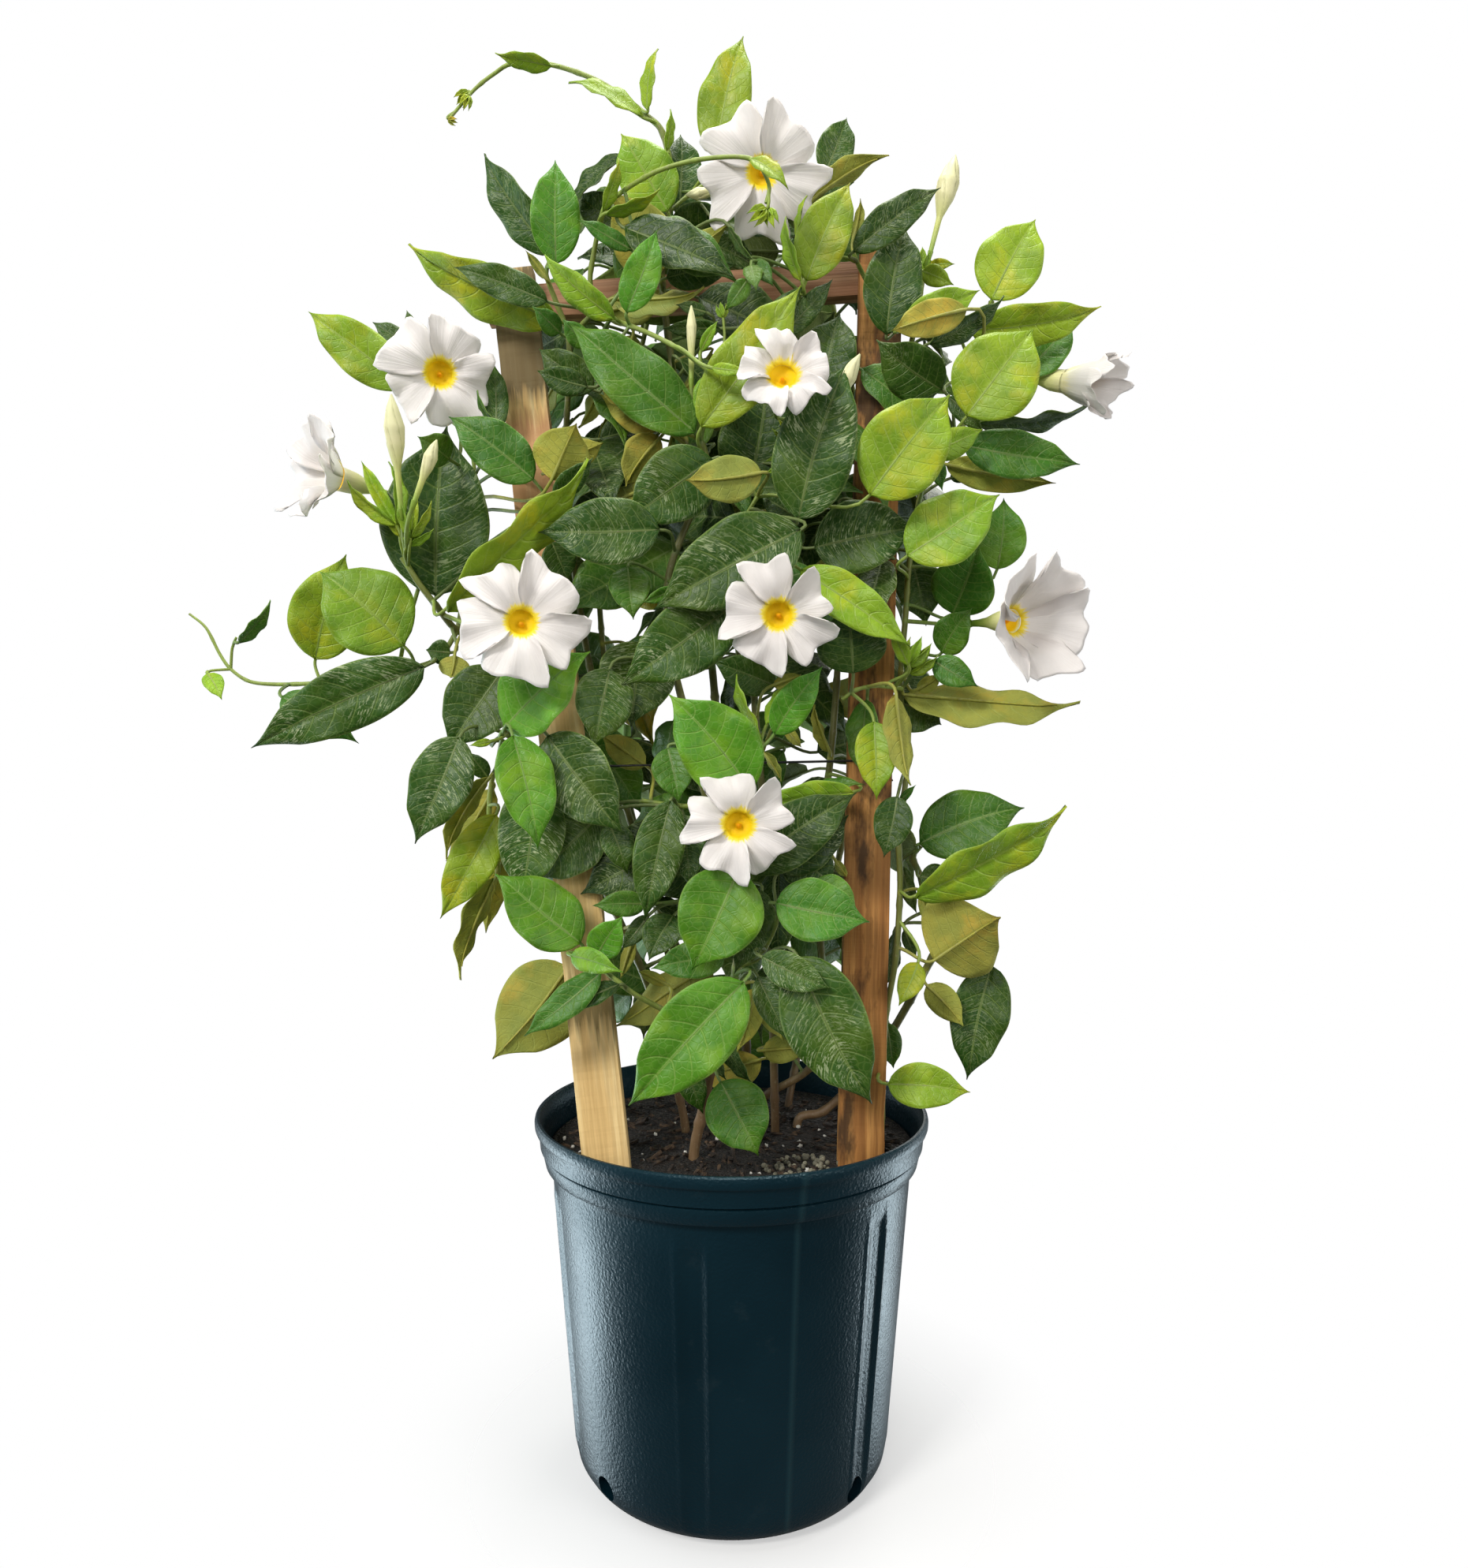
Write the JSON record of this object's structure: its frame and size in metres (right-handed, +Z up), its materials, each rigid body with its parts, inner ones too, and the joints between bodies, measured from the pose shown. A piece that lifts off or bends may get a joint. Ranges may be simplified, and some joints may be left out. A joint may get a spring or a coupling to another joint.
{
  "type": "potted mandevilla on trellis",
  "caption": "Climbing mandevilla with white trumpet blooms, trained on a small timber trellis and standing in a round nursery pot.",
  "frame": {"origin": "centre of the pot's flat base, on the surface it stands on", "axes": "+Z up along the pot's axis; -Y is the side the blooms face, +X is to the right seen from there"},
  "size_m": [0.657, 0.3513, 1.0039],
  "materials": {
    "pot_plastic": "dark blue-green moulded plastic, soft sheen",
    "potting_mix": "damp near-black bark and peat mix",
    "pale_pine": "sawn pale pine, weathered olive-brown in places",
    "orange_pine": "orange-brown sawn board with dark knots",
    "pink_pine": "pinkish sawn board",
    "nail_steel": "dark rusted steel",
    "black_wire": "black coated wire",
    "leafy_stem": "living green leaf, waxy",
    "bloom_white": "soft white petal with yellow-orange throat",
    "bud_cream": "cream bud"
  },
  "bodies": {
    "root": {"bloom_centre": "bloom_white", "bloom_far_left": "bloom_white", "bloom_far_right": "bloom_white", "bloom_low": "bloom_white", "bloom_mid_left": "bloom_white", "bloom_right": "bloom_white", "bloom_top": "bloom_white", "bloom_upper_left": "bloom_white", "bloom_upper_mid": "bloom_white", "bud_centre_slim": "bud_cream", "bud_left_cream": "bud_cream", "bud_left_yellow": "bud_cream", "bud_low_left": "bud_cream", "bud_low_right": "bud_cream", "bud_mid_right": "bud_cream", "bud_top_left": "bud_cream", "bud_top_right": "bud_cream", "bud_upper_left": "bud_cream", "nail_left": "nail_steel", "nail_right": "nail_steel", "nursery_pot": "pot_plastic", "potting_soil": "potting_mix", "rail_top": "pink_pine", "stake_left": "pale_pine", "stake_right": "orange_pine", "tie_wire": "black_wire", "vine_back_left": "leafy_stem", "vine_back_mid": "leafy_stem", "vine_back_right": "leafy_stem", "vine_centre_top": "leafy_stem", "vine_front": "leafy_stem", "vine_left_low": "leafy_stem", "vine_left_mid": "leafy_stem", "vine_left_top": "leafy_stem", "vine_middle": "leafy_stem", "vine_right_low": "leafy_stem", "vine_right_mid": "leafy_stem", "vine_right_top": "leafy_stem"}
  },
  "joints": []
}
